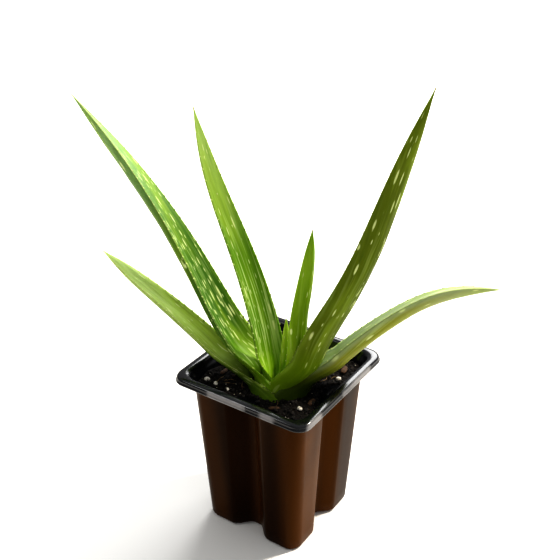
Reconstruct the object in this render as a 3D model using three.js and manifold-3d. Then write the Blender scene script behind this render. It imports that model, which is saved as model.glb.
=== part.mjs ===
// Young aloe in a square nursery pot.
// Millimetres, +Z up. The origin is the centre of the pot's foot, and the pot's sides face X and Y.
import * as THREE from "three";
import { mergeVertices } from "three/addons/utils/BufferGeometryUtils.js";
import Module from "manifold-3d";

const wasm = await Module();
wasm.setup();

// clearance between pieces that rest on or in each other
const gap = 0.3;

// thermoformed pot: tapered square with round corners, one upright flute in each side, a folded lip
const pot = {
  height: 104,
  wall: 1.2,
  footSide: 64,
  shoulderSide: 74,
  shoulderHeight: 97,
  lipSide: 89,
  lipWidth: 6,
  lipDrop: 3.6,
  cornerRadius: 8,
  footRadius: 2.4,
  fluteDepth: 8,
  fluteFloor: 3,
  fluteMouth: 10,
  drainRadius: 3.5,
  drainOffset: 17,
};

// potting mix: top surface, its unevenness and the dip round the plant
const soil = { level: 97, ripple: 0.7, dip: 2.6, dipReach: 13 };

// where the plant stands in the pot, nearer the front corner than the centre
const plant = { x: 5.8, y: -6.9 };

const stem = { radius: 6, top: 97.2, bottom: 66 };
const roots = { count: 6, radius: 1.4, reach: 17, drop: 52 };
// no mix is left in the tight space between the leaf bases
const crown = { radius: 16.5, bottom: 92.5 };

// Each leaf: heading is the compass angle it leans towards (degrees from +X towards +Y) and turn is how much
// that changes by the tip; rise is its slope above the horizon at five stations from base to tip; roll tips
// the blade about its own length and twist adds to that by the tip. Out and foot place its base beside the
// stem. Depth and channel are the thickness of the back and the hollow of the face, as parts of the width.
// The base is a sheath that clasps the younger leaves: its inner radius, how far it wraps to each side
// (degrees), the length over which it opens into the blade, its thickness and how steeply it climbs.
const leaves = [
  {
    name: "leaf_bud", heading: -10, turn: 0, length: 46, width: 8, taper: 0.45, depth: 0.42, channel: 0.2,
    out: 1, foot: 95.6, roll: 0, twist: 0, rise: [84, 86, 87, 87, 87],
    sheath: { radius: 2.2, wrap: 100, length: 9, thick: 1.4, climb: 1 },
  },
  {
    name: "leaf_young_right", heading: -6, turn: 0, length: 107, width: 14, taper: 0.32, depth: 0.42,
    channel: 0.2, out: 2, foot: 95, roll: -7, twist: 0, rise: [56, 71, 87, 80, 82],
    sheath: { radius: 4.2, wrap: 108, length: 18, thick: 1.9, climb: 0.95 },
  },
  {
    name: "leaf_middle_left", heading: 181, turn: 6, length: 164, width: 19, taper: 0.46, depth: 0.42,
    channel: 0.2, out: 3, foot: 95, roll: -22, twist: 0, rise: [80, 80, 72, 66, 77],
    sheath: { radius: 6.6, wrap: 110, length: 22, thick: 4.2, climb: 0.95 },
  },
  {
    name: "leaf_tall_right", heading: 9, turn: -3, length: 198, width: 22, taper: 0.52, depth: 0.44,
    channel: 0.22, out: 4, foot: 95, roll: -25, twist: -15, rise: [50, 71, 63, 72, 71],
    sheath: { radius: 11.2, wrap: 112, length: 28, thick: 3.2, climb: 0.9 },
  },
  {
    name: "leaf_tall_left", heading: 184, turn: 12, length: 197, width: 23, taper: 0.34, depth: 0.42,
    channel: 0.22, out: 6, foot: 94, roll: -12, twist: 52, rise: [72, 46, 59, 53, 43],
    sheath: { radius: 12.2, wrap: 115, length: 32, thick: 3.2, climb: 0.85 },
  },
  {
    name: "leaf_outer_right", heading: 34, turn: -8, length: 135, width: 22, taper: 0.37, depth: 0.46,
    channel: 0.25, out: 7, foot: 94, roll: -14, twist: -8, rise: [38, 50, 43, 32, -6],
    sheath: { radius: 15.2, wrap: 112, length: 32, thick: 2.6, climb: 0.7 },
  },
  {
    name: "leaf_outer_left", heading: 194, turn: 0, length: 122, width: 18, taper: 0.38, depth: 0.42,
    channel: 0.2, out: 8, foot: 93, roll: -5, twist: 0, rise: [12, 36, 39, 35, 32],
    sheath: { radius: 16.8, wrap: 112, length: 36, thick: 2.4, climb: 0.6 },
  },
];

// loose bits lying on the mix: place, and half length, half width and half height
const perlite = [
  [-31, -28, 2.0, 1.6, 1.5],
  [-24, -29, 1.6, 1.3, 1.2],
  [-16, -29, 1.5, 1.2, 1.1],
  [28, -22, 1.7, 1.4, 1.3],
  [31, 14, 1.9, 1.5, 1.4],
  [-18, 27, 1.8, 1.4, 1.3],
  [14, 30, 1.6, 1.4, 1.3],
];
const bark = [
  [30, -13, 4.2, 1.8, 1.0],
  [29, 24, 4.6, 2.0, 1.1],
  [18, 27, 3.8, 1.6, 1.0],
  [-29, 18, 4.4, 1.9, 1.0],
  [-28, -16, 3.6, 1.6, 0.9],
  [-6, 20, 4.0, 1.7, 1.0],
  [16, -29, 3.6, 1.5, 0.9],
];

const materials = {
  pot: new THREE.MeshStandardMaterial({ color: 0x4a2c1a, roughness: 0.35, metalness: 0 }),
  soil: new THREE.MeshStandardMaterial({ color: 0x2a1c14, roughness: 0.95, metalness: 0 }),
  leaf: new THREE.MeshStandardMaterial({ color: 0x6c9a2e, roughness: 0.45, metalness: 0 }),
  stem: new THREE.MeshStandardMaterial({ color: 0xc9c29a, roughness: 0.7, metalness: 0 }),
  perlite: new THREE.MeshStandardMaterial({ color: 0xe4e0d6, roughness: 0.9, metalness: 0 }),
  bark: new THREE.MeshStandardMaterial({ color: 0x7a5638, roughness: 0.9, metalness: 0 }),
};

const { lerp, smoothstep, degToRad } = THREE.MathUtils;

// ---- solids and meshes -------------------------------------------------------------------------

// a closed geometry as a solid that can be joined or cut
function solidOf(geometry) {
  const bare = geometry.clone();
  bare.deleteAttribute("normal");
  bare.deleteAttribute("uv");
  const merged = mergeVertices(bare, 1e-4);
  const mesh = new wasm.Mesh({
    numProp: 3,
    vertProperties: new Float32Array(merged.attributes.position.array),
    triVerts: new Uint32Array(merged.index.array),
  });
  return new wasm.Manifold(mesh);
}

function geometryOf(solid) {
  const { vertProperties, triVerts } = solid.getMesh();
  const geometry = new THREE.BufferGeometry();
  geometry.setAttribute("position", new THREE.BufferAttribute(vertProperties, 3));
  geometry.setIndex(new THREE.BufferAttribute(triVerts, 1));
  geometry.computeVertexNormals();
  return geometry;
}

// the biggest piece of a solid, so that a cut leaves no loose sliver
function mainPiece(solid) {
  return solid.decompose().reduce((best, piece) => (piece.volume() > best.volume() ? piece : best));
}

// moves every vertex of a geometry, so that a round blank takes its final shape
function reshape(geometry, place) {
  const position = geometry.attributes.position;
  const vertex = new THREE.Vector3();
  for (let i = 0; i < position.count; i += 1) {
    vertex.fromBufferAttribute(position, i);
    place(vertex);
    position.setXYZ(i, vertex.x, vertex.y, vertex.z);
  }
  return geometry;
}

// ---- pot and soil ------------------------------------------------------------------------------

// steps round one side, counted from its middle: the flute, then the corner's quarter of an arc
const fluteSteps = 6;
const cornerSteps = 2;
const stepsPerSide = 2 * (fluteSteps + 1 + cornerSteps);
const steps = 4 * stepsPerSide;
const lipBottom = pot.height - pot.lipDrop;
const footHalf = pot.footSide / 2;
const shoulderHalf = pot.shoulderSide / 2;
const lipHalf = pot.lipSide / 2;
const lipInner = lipHalf - pot.lipWidth;

// half the outside width of the wall at a height
function wallHalf(z) {
  return lerp(footHalf, shoulderHalf, Math.min(z, pot.shoulderHeight) / pot.shoulderHeight);
}

// how far the flute sets the side in, for a point across the side and a surface inset from the outside
function fluteAt(across, z, inset) {
  const fade = 1 - smoothstep(z, pot.shoulderHeight, lipBottom);
  const side = 1 - smoothstep(Math.abs(across), pot.fluteFloor + inset, pot.fluteMouth + inset);
  return pot.fluteDepth * side * fade;
}

// a point on the pot's plan: step counts round the outline, half is the half width at that height
function planPoint(step, half, z) {
  const inset = Math.max(wallHalf(z) - half, 0);
  const radius = Math.max(pot.cornerRadius - inset, 2);
  const straight = half - radius;
  const side = Math.floor(step / stepsPerSide);
  const fromMiddle = (step % stepsPerSide) - stepsPerSide / 2;
  const count = Math.abs(fromMiddle);
  let x = half;
  let y = straight;
  if (count <= fluteSteps) {
    y = ((pot.fluteMouth + inset) * count) / fluteSteps;
    x -= fluteAt(y, z, inset);
  } else if (count > fluteSteps + 1) {
    const turn = ((count - fluteSteps - 1) / cornerSteps) * (Math.PI / 4);
    x = straight + radius * Math.cos(turn);
    y = straight + radius * Math.sin(turn);
  }
  const point = new THREE.Vector2(x, fromMiddle < 0 ? -y : y);
  return point.rotateAround(new THREE.Vector2(), (side * Math.PI) / 2);
}

// turns a round lathe blank, whose radius is a half width, into the pot's square fluted plan
function squareUp(geometry, pointAt = planPoint) {
  return reshape(geometry, (vertex) => {
    const half = Math.hypot(vertex.x, vertex.z);
    const angle = Math.atan2(vertex.x, vertex.z) + 2 * Math.PI;
    const step = Math.round((angle / (2 * Math.PI)) * steps) % steps;
    const z = vertex.y;
    const plan = half < gap ? new THREE.Vector2() : pointAt(step, half, z);
    vertex.set(plan.x, plan.y, z);
  });
}

function makePot() {
  const { wall, height } = pot;
  const profile = [
    [0, 0],
    [footHalf - pot.footRadius, 0],
    [footHalf - 0.3 * pot.footRadius, 0.3 * pot.footRadius],
    [wallHalf(pot.footRadius), pot.footRadius],
    [shoulderHalf, pot.shoulderHeight],
    [lipInner + wall, lipBottom + 0.4],
    [lipHalf - wall, height - 2 * wall],
    [lipHalf - wall, lipBottom],
    [lipHalf, lipBottom],
    [lipHalf, height - wall],
    [lipHalf - 0.5 * wall, height - 0.25 * wall],
    [lipHalf - 1.5 * wall, height],
    [lipInner + wall, height],
    [lipInner + 0.2 * wall, height - 0.4 * wall],
    [lipInner, height - 1.2 * wall],
    [shoulderHalf - wall, pot.shoulderHeight],
    [wallHalf(pot.footRadius) - wall, pot.footRadius + 0.4 * wall],
    [footHalf - pot.footRadius - 0.6 * wall, wall],
    [0, wall],
  ].map(([half, z]) => new THREE.Vector2(half, z));
  let solid = solidOf(squareUp(new THREE.LatheGeometry(profile, steps)));
  for (const [sx, sy] of [[1, 1], [1, -1], [-1, 1], [-1, -1]]) {
    const drill = new THREE.CylinderGeometry(pot.drainRadius, pot.drainRadius, 3 * wall, 16);
    drill.rotateX(Math.PI / 2);
    drill.translate(sx * pot.drainOffset, sy * pot.drainOffset, wall);
    solid = solid.subtract(solidOf(drill));
  }
  return solid;
}

// height of the potting mix: gently uneven, lower round the plant
function soilHeight(x, y) {
  const ripple = Math.sin(0.21 * x + 1) * Math.cos(0.17 * y - 0.5) + 0.6 * Math.sin(0.33 * x - 0.29 * y);
  const away = Math.hypot(x - plant.x, y - plant.y) / soil.dipReach;
  return soil.level + soil.ripple * ripple - soil.dip * Math.exp(-away * away);
}

function makeSoil() {
  const inset = pot.wall + gap;
  const bottom = pot.wall + gap;
  const edge = soil.level - 1;
  const rings = [0.88, 0.66, 0.44, 0.22];
  const profile = [
    [0, bottom],
    [footHalf - pot.footRadius - 1.5 * inset, bottom],
    [wallHalf(pot.footRadius) - inset - gap, pot.footRadius + inset],
    [wallHalf(edge) - inset, edge],
    ...rings.map((share) => [share * (wallHalf(edge) - inset), soil.level]),
    [0, soil.level],
  ].map(([half, z]) => new THREE.Vector2(half, z));
  const edgeHalf = wallHalf(edge) - inset;
  const pointAt = (step, half, z) => {
    if (z <= edge) return planPoint(step, half, z);
    return planPoint(step, edgeHalf, edge).multiplyScalar(half / edgeHalf);
  };
  const mix = squareUp(new THREE.LatheGeometry(profile, steps), pointAt);
  const raised = reshape(mix, (vertex) => {
    if (vertex.z > edge) vertex.z = soilHeight(vertex.x, vertex.y);
  });
  return solidOf(raised);
}

// ---- plant -------------------------------------------------------------------------------------

// short stem with its fleshy roots, one grown piece; grow makes the slightly larger shape that cuts others
function makeStem(grow = 0) {
  const { radius, top, bottom } = stem;
  const profile = [
    [0, bottom - grow],
    [0.55 * radius + grow, bottom - grow],
    [0.95 * radius + grow, bottom + 4],
    [radius + grow, top - 7],
    [0.85 * radius + grow, top - 2 + grow],
    [0.45 * radius + grow, top + grow - 0.4],
    [0, top + grow],
  ].map(([r, z]) => new THREE.Vector2(r, z));
  const core = new THREE.LatheGeometry(profile, 20).rotateX(Math.PI / 2).translate(plant.x, plant.y, 0);
  let solid = solidOf(core);
  for (let i = 0; i < roots.count; i += 1) {
    solid = solid.add(makeRoot(i, grow));
  }
  return solid;
}

function makeRoot(index, grow) {
  const angle = (index * 2 * Math.PI) / roots.count + 0.3;
  const reach = roots.reach * (0.8 + 0.2 * Math.cos(2.4 * index));
  const drop = roots.drop * (0.8 + 0.2 * Math.sin(1.7 * index));
  const start = stem.bottom + 5;
  const at = (out, down) => {
    const drift = 1 - Math.max(down, 0) / roots.drop;
    return new THREE.Vector3(
      plant.x * drift + out * Math.cos(angle),
      plant.y * drift + out * Math.sin(angle),
      start - down,
    );
  };
  const path = new THREE.CatmullRomCurve3([
    at(1, -1),
    at(0.45 * reach, 0.1 * drop),
    at(0.85 * reach, 0.45 * drop),
    at(reach, drop + 2 * grow),
  ]);
  const section = new THREE.Shape();
  const sides = 5;
  for (let i = 0; i < sides; i += 1) {
    const turn = (i * 2 * Math.PI) / sides;
    const radius = (roots.radius + grow) / Math.cos(Math.PI / sides);
    section[i ? "lineTo" : "moveTo"](radius * Math.cos(turn), radius * Math.sin(turn));
  }
  return solidOf(new THREE.ExtrudeGeometry(section, { steps: 7, extrudePath: path }));
}

// stations along a leaf, crowded towards its base, and points across its face and its back
const leafSteps = 24;
const subSteps = 5;
const baseCrowding = 1.2;
const facePoints = 8;
const backPoints = 10;
const tipHalf = 0.3;
const tipSharpness = 12;
// how closely the extra reach of a cutting leaf keeps to its edges
const edgeSharpness = 15;
// radians each way and thickness of the arc that a leaf is bent from
const blankArc = { wrap: 2, thick: 0.3 };

// the line a leaf follows, with the blade's sideways and upward directions at each station
function leafSpine(leaf) {
  const rises = new THREE.SplineCurve(leaf.rise.map((rise, i) => new THREE.Vector2(i, rise)));
  const heading = (t) => degToRad(leaf.heading + leaf.turn * t * t);
  const rise = (t) => degToRad(rises.getPoint(t ** 0.6).y);
  const towards = (t) =>
    new THREE.Vector3(
      Math.cos(rise(t)) * Math.cos(heading(t)),
      Math.cos(rise(t)) * Math.sin(heading(t)),
      Math.sin(rise(t)),
    );
  const start = degToRad(leaf.heading);
  const point = new THREE.Vector3(
    plant.x + leaf.out * Math.cos(start),
    plant.y + leaf.out * Math.sin(start),
    leaf.foot,
  );
  const stations = [];
  let last = 0;
  for (let i = 0; i <= leafSteps; i += 1) {
    const t = (i / leafSteps) ** baseCrowding;
    for (let j = 0; j < subSteps; j += 1) {
      const middle = lerp(last, t, (j + 0.5) / subSteps);
      point.addScaledVector(towards(middle), ((t - last) * leaf.length) / subSteps);
    }
    last = t;
    const along = towards(t);
    const side = new THREE.Vector3(-Math.sin(heading(t)), Math.cos(heading(t)), 0);
    const up = new THREE.Vector3().crossVectors(along, side);
    const roll = degToRad(leaf.roll + leaf.twist * t);
    side.applyAxisAngle(along, roll);
    up.applyAxisAngle(along, roll);
    stations.push({ t, point: point.clone(), side, up });
  }
  return stations;
}

// a point of a leaf's surface: across runs from edge to edge, back is 0 on the face and up to 1 on the keel.
// The sheath at the base opens into the crescent blade further up; grow makes the leaf slightly larger
function leafPoint(leaf, station, across, back, grow) {
  const { t, point, side, up } = station;
  const narrowing = (1 - t) ** leaf.taper * (1 - t ** tipSharpness);
  const half = 0.5 * leaf.width * narrowing + tipHalf + grow;
  const depth = 2 * half * lerp(leaf.depth, 0.5, smoothstep(t, 0.4, 1)) + grow;
  const hollow = 2 * half * leaf.channel * (1 - t);
  const lift = back > 0 ? -depth * back : grow - hollow * (1 - across ** 2);
  const blade = point.clone().addScaledVector(side, half * across).addScaledVector(up, lift);
  const { radius, wrap, length, thick, climb } = leaf.sheath;
  const opened = smoothstep(t * leaf.length, 0, length);
  const angle = degToRad(leaf.heading + wrap * across) + (2 * across ** edgeSharpness * grow) / radius;
  const out = radius + thick * back + (back > 0 ? grow : -grow);
  const sheath = new THREE.Vector3(
    plant.x + out * Math.cos(angle),
    plant.y + out * Math.sin(angle),
    leaf.foot + (t > 0 ? climb * t * leaf.length : -grow),
  );
  return sheath.lerp(blade, opened);
}

// where the points round a leaf lie: along the face from edge to edge, then back along the outer side
const roundLeaf = [];
for (let k = 0; k <= facePoints; k += 1) {
  roundLeaf.push({ across: 1 - (2 * k) / facePoints, back: 0 });
}
for (let k = 1; k < backPoints; k += 1) {
  const turn = (Math.PI * k) / backPoints;
  roundLeaf.push({ across: -Math.cos(turn), back: Math.sin(turn) });
}

// sheath and crescent blade: an extruded arc, bent into the leaf's shape
function makeLeaf(leaf, grow = 0) {
  const spine = leafSpine(leaf);
  const arc = roundLeaf.map(({ across, back }) => {
    const angle = blankArc.wrap * across;
    const radius = 1 + blankArc.thick * back;
    return new THREE.Vector2(radius * Math.cos(angle), radius * Math.sin(angle));
  });
  const blank = new THREE.ExtrudeGeometry(new THREE.Shape(arc), {
    steps: leafSteps,
    depth: leafSteps,
    bevelEnabled: false,
  });
  const shaped = reshape(blank, (vertex) => {
    const station = spine[Math.round(vertex.z)];
    const k = arc.findIndex((point) => Math.hypot(point.x - vertex.x, point.y - vertex.y) < 1e-4);
    const { across, back } = roundLeaf[k];
    vertex.copy(leafPoint(leaf, station, across, back, grow));
  });
  return solidOf(shaped);
}

// ---- loose bits on the soil --------------------------------------------------------------------

function makeBit([x, y, length, width, height], turn, grow = 0) {
  const stone = new THREE.IcosahedronGeometry(1, 0);
  stone.scale(length + grow, width + grow, height + grow);
  stone.rotateZ(turn);
  stone.translate(x, y, soilHeight(x, y) + 0.5 * height);
  return solidOf(stone);
}

// ---- assembly ----------------------------------------------------------------------------------

const group = new THREE.Group();
function place(name, solid, material) {
  const mesh = new THREE.Mesh(geometryOf(solid), material.clone());
  mesh.name = name;
  group.add(mesh);
}

place("nursery_pot", makePot(), materials.pot);
place("stem_and_roots", makeStem(), materials.stem);

// the leaves sheathe each other, the youngest inside, so each is cut by all that are younger
let taken = makeStem(gap);
for (const leaf of leaves) {
  place(leaf.name, mainPiece(makeLeaf(leaf).subtract(taken)), materials.leaf);
  taken = taken.add(makeLeaf(leaf, gap));
}

const crownHole = new THREE.CylinderGeometry(crown.radius, crown.radius, soil.level - crown.bottom + 4, 16);
crownHole.rotateX(Math.PI / 2).translate(plant.x, plant.y, 0.5 * (soil.level + crown.bottom) + 2);
let mix = makeSoil().subtract(taken.add(solidOf(crownHole)));
for (const [kind, list] of [["perlite", perlite], ["bark", bark]]) {
  list.forEach((bit, i) => {
    const turn = 1.1 * i + bit[0];
    place(`${kind}_${i + 1}`, makeBit(bit, turn), materials[kind]);
    mix = mix.subtract(makeBit(bit, turn, gap));
  });
}
place("potting_mix", mainPiece(mix), materials.soil);

export default group;
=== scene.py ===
import math
import random

import bmesh
import bpy
import numpy as np
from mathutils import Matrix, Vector, noise


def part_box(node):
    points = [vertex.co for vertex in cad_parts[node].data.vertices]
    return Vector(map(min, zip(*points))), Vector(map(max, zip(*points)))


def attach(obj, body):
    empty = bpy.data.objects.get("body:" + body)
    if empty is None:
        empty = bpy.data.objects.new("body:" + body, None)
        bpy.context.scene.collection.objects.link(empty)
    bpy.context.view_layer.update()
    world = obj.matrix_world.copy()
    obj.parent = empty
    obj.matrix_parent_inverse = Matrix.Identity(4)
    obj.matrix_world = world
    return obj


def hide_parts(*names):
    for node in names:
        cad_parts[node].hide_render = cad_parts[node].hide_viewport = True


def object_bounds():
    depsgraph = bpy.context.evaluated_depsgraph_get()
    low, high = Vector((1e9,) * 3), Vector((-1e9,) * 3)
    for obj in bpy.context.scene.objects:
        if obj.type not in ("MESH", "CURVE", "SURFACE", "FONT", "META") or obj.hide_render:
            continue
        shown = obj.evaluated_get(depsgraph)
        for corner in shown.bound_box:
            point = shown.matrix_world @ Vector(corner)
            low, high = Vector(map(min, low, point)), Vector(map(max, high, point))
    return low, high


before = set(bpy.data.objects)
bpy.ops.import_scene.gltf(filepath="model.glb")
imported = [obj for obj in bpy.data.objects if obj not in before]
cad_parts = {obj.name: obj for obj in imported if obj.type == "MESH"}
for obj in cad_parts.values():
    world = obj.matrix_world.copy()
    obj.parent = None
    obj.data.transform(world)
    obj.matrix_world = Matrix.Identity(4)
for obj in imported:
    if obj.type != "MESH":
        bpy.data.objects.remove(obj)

# Young spotted aloe in a square fluted nursery pot. Shapes are worked out in millimetres and
# turned to metres where a piece is made.
cadLow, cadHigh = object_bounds()
mm = 0.001
potLow, potHigh = (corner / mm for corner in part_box("nursery_pot"))


def linear(hexCode):
    channels = [int(hexCode[i:i + 2], 16) / 255 for i in (1, 3, 5)]
    return (*[c / 12.92 if c <= 0.04045 else ((c + 0.055) / 1.055) ** 2.4 for c in channels], 1.0)


def smoothStep(value, low, high):
    x = np.clip((np.asarray(value, float) - low) / (high - low), 0, 1)
    return x * x * (3 - 2 * x)


def mix(a, b, share):
    return a + (b - a) * share


# adds a node: settings are its own properties, inputs are values or the sockets that feed it
def addNode(tree, kind, inputs=None, **settings):
    node = tree.nodes.new(kind)
    for name, value in settings.items():
        setattr(node, name, value)
    for socket, value in (inputs or {}).items():
        if isinstance(value, bpy.types.NodeSocket):
            tree.links.new(value, node.inputs[socket])
        else:
            node.inputs[socket].default_value = value
    return node


def newMaterial(name):
    material = bpy.data.materials.new(name)
    material.use_nodes = True
    material.node_tree.nodes.clear()
    return material, material.node_tree


def finishMaterial(tree, shader):
    addNode(tree, "ShaderNodeOutputMaterial", {"Surface": shader.outputs[0]})


# a mesh object from points in millimetres and faces, riding on the one body
def makePiece(name, points, faces, materials, nodes, smooth=True, faceMaterials=None, places=None):
    mesh = bpy.data.meshes.new(name)
    mesh.from_pydata((np.asarray(points, float) * mm).tolist(), [], [list(f) for f in faces])
    for material in materials:
        mesh.materials.append(material)
    if faceMaterials is not None:
        mesh.polygons.foreach_set("material_index", faceMaterials)
    mesh.polygons.foreach_set("use_smooth", [smooth] * len(mesh.polygons))
    for attributeName, values in (places or {}).items():
        attribute = mesh.attributes.new(attributeName, "FLOAT_VECTOR", "POINT")
        attribute.data.foreach_set("vector", np.asarray(values, np.float32).ravel())
    mesh.validate()
    piece = bpy.data.objects.new(name, mesh)
    bpy.context.scene.collection.objects.link(piece)
    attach(piece, "root")
    if nodes:
        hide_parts(*nodes)
    return piece


# quads between rows of points that each go once round; the rows follow each other
def ringFaces(rows, columns, start=0):
    faces = []
    for i in range(rows - 1):
        for j in range(columns):
            k = (j + 1) % columns
            a = start + i * columns
            b = a + columns
            faces.append((a + j, a + k, b + k, b + j))
    return faces


# thermoformed polystyrene sheet, thin and glossy: tapered square, one upright flute in each side, folded lip
pot = {
    "wall": 0.9,
    "centreHalf": 0.02,  # half width of the tiny ring that closes a floor
    "footSide": 64.0,
    "shoulderSide": 74.0,
    "shoulderHeight": 97.0,
    "lipWidth": 6.0,
    "lipDrop": 3.6,
    "lipInsideRows": 3,  # rows of the inner wall that still have the lip's finish
    "cornerRadius": 8.0,
    "footRadius": 2.4,
    "fluteDepth": 8.0,
    "fluteFloor": 1.5,
    "fluteMouth": 12.5,
    "drainRadius": 3.5,
    "drainOffset": 17.0,
    "fluteSteps": 16,
    "cornerSteps": 7,
    "floorBorder": 5.0,  # the floor's rings are scaled copies of the outline this far inside the wall
    "flatSteps": 3,
    "wallRows": 14,
    "wallColor": "#54320F",
    "wallDeepColor": "#201003",
    "wallSheen": "#C08850",
    "lipColor": "#0E1014",
    # painted reflection: the pale colour of the patches and the width of the outer band they lie on
    "paintedReflectionColor": "#7E7C7C",
    "paintedReflectionBand": 1.5,
    # painted reflection: pale patches along the lip's outer edge, where light caught on the fold is painted
    # into the colour: x, y and half the length
    "paintedReflections": ((-6, -44, 13), (21, -44, 5), (44, -33, 8), (44, 12, 16), (-44, 4, 12), (-12, 44, 10)),
}
lipHalf = (potHigh.x - potLow.x) / 2
potTop = potHigh.z
lipBottom = potTop - pot["lipDrop"]
lipInner = lipHalf - pot["lipWidth"]
footHalf = pot["footSide"] / 2
shoulderHalf = pot["shoulderSide"] / 2


def wallHalf(z):
    return mix(footHalf, shoulderHalf, min(z, pot["shoulderHeight"]) / pot["shoulderHeight"])


# one side of the pot's outline in steps: what each belongs to, how far along that it is, and which half
def sideSteps():
    flute = [("flute", i / pot["fluteSteps"]) for i in range(pot["fluteSteps"] + 1)]
    flat = [("flat", i / pot["flatSteps"]) for i in range(1, pot["flatSteps"] + 1)]
    corner = [("corner", i / pot["cornerSteps"]) for i in range(1, pot["cornerSteps"] + 1)]
    half = flute + flat + corner
    mirrored = [(kind, share, -1) for kind, share in reversed(half[1:-1])]
    return mirrored + [(kind, share, 1) for kind, share in half]


outlineSteps = sideSteps()


# the pot's square fluted outline at a height, for a surface whose half width is given
def outline(half, z):
    inset = max(wallHalf(z) - half, 0)
    radius = max(pot["cornerRadius"] - inset, 2)
    straight = half - radius
    mouth = pot["fluteMouth"] + inset
    fade = 1 - smoothStep(z, pot["shoulderHeight"], lipBottom)
    side = []
    for kind, share, sign in outlineSteps:
        x, y = half, straight
        if kind == "flute":
            y = mouth * share
            x -= float(pot["fluteDepth"] * fade * (1 - smoothStep(y, pot["fluteFloor"] + inset, mouth)))
        elif kind == "flat":
            y = mix(mouth, straight, share)
        else:
            turn = share * math.pi / 4
            x = straight + radius * math.cos(turn)
            y = straight + radius * math.sin(turn)
        side.append((x, sign * y))
    points = []
    for quarter in range(4):
        c, s = math.cos(quarter * math.pi / 2), math.sin(quarter * math.pi / 2)
        points += [(c * x - s * y, s * x + c * y) for x, y in side]
    return points


# one ring of the pot: the outline itself near the wall, a scaled copy of it across a floor
def ringPoints(half, z):
    edge = max(half, wallHalf(z) - pot["floorBorder"])
    return [(x * half / edge, y * half / edge, z) for x, y in outline(edge, z)]


def makePot():
    wall = pot["wall"]
    # each row is a half width and a height: under the foot, up the wall, round the lip, down the inside
    rows = [(pot["centreHalf"], 0), (0.5 * footHalf, 0), (footHalf - pot["footRadius"], 0)]
    for i in range(1, 4):
        turn = i / 4 * math.pi / 2
        rows.append((footHalf - pot["footRadius"] * (1 - math.sin(turn)),
                     pot["footRadius"] * (1 - math.cos(turn))))
    for i in range(pot["wallRows"] + 1):
        z = mix(pot["footRadius"], pot["shoulderHeight"], i / pot["wallRows"])
        rows.append((wallHalf(z), z))
    wallEnd = len(rows)
    under = potTop - 1.3 * wall
    rows += [
        (mix(shoulderHalf, lipInner + wall, 0.35), mix(pot["shoulderHeight"], lipBottom, 0.55)),
        (mix(shoulderHalf, lipInner + wall, 0.8), lipBottom + 0.3),
        (lipInner + wall, lipBottom + 1.2),  # underside of the lip
        (lipInner + 1.4 * wall, under),
        (lipHalf - 1.3 * wall, under),  # back of the fold
        (lipHalf - wall, under - 0.6),
        (lipHalf - wall, lipBottom + 0.1),
        (lipHalf - 0.8 * wall, lipBottom),  # lower edge and its bead
        (lipHalf - 0.1 * wall, lipBottom),
        (lipHalf, lipBottom + 0.25),
        (lipHalf, lipBottom + 0.8),
        (lipHalf - 0.35, lipBottom + 1.1),
        (lipHalf - 0.4, potTop - 1.3),  # outer face and rounded top
        (lipHalf - 0.75, potTop - 0.5),
        (lipHalf - 1.6, potTop - 0.08),
        (lipHalf - 2.8, potTop),
        (lipInner + 2.0, potTop - 0.05),
        (lipInner + 0.9, potTop - 0.35),  # rounded inner edge
        (lipInner + 0.3, potTop - 1.0),
        (lipInner, potTop - 2.2),
        (mix(shoulderHalf, lipInner, 0.5) - 0.5 * wall, mix(pot["shoulderHeight"], potTop - 2.2, 0.45)),
    ]
    lipEnd = len(rows)
    for i in range(pot["wallRows"] + 1):
        z = mix(pot["shoulderHeight"], pot["footRadius"] + wall, i / pot["wallRows"])
        rows.append((wallHalf(z) - wall, z))
    rows += [(footHalf - pot["footRadius"] - wall, wall), (0.5 * footHalf, wall), (pot["centreHalf"], wall)]
    points = [p for half, z in rows for p in ringPoints(half, z)]
    columns = 4 * len(outlineSteps)
    faces = ringFaces(len(rows), columns)
    faces.append(tuple(reversed(range(columns))))
    faces.append(tuple(range(len(points) - columns, len(points))))
    # material 0 is the wall's and 1 the lip's; the last two faces close the floor
    isLip = [wallEnd - 1 <= i < lipEnd + pot["lipInsideRows"] for i in range(len(rows) - 1)]
    kinds = [int(lip) for lip in isLip for _ in range(columns)] + [0, 0]
    piece = makePiece("potShell", points, faces, [glossyStyreneWall(), glossyStyreneLip()],
                      ["nursery_pot"], faceMaterials=kinds)
    drillDrains(piece)


# four round drain holes through the floor
def drillDrains(piece):
    drills = bmesh.new()
    for sx in (-1, 1):
        for sy in (-1, 1):
            made = bmesh.ops.create_cone(drills, cap_ends=True, segments=32, depth=6 * mm,
                                         radius1=pot["drainRadius"] * mm, radius2=pot["drainRadius"] * mm)
            offset = Vector((sx * pot["drainOffset"], sy * pot["drainOffset"], 0)) * mm
            bmesh.ops.translate(drills, verts=made["verts"], vec=offset)
    mesh = bpy.data.meshes.new("drainDrill")
    drills.to_mesh(mesh)
    drill = bpy.data.objects.new("drainDrill", mesh)
    bpy.context.scene.collection.objects.link(drill)
    cut = piece.modifiers.new("drains", "BOOLEAN")
    cut.object = drill
    cut.operation = "DIFFERENCE"
    cut.solver = "EXACT"
    bpy.context.view_layer.update()
    evaluated = piece.evaluated_get(bpy.context.evaluated_depsgraph_get())
    piece.modifiers.clear()
    piece.data = bpy.data.meshes.new_from_object(evaluated)
    bpy.data.objects.remove(drill)


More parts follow.
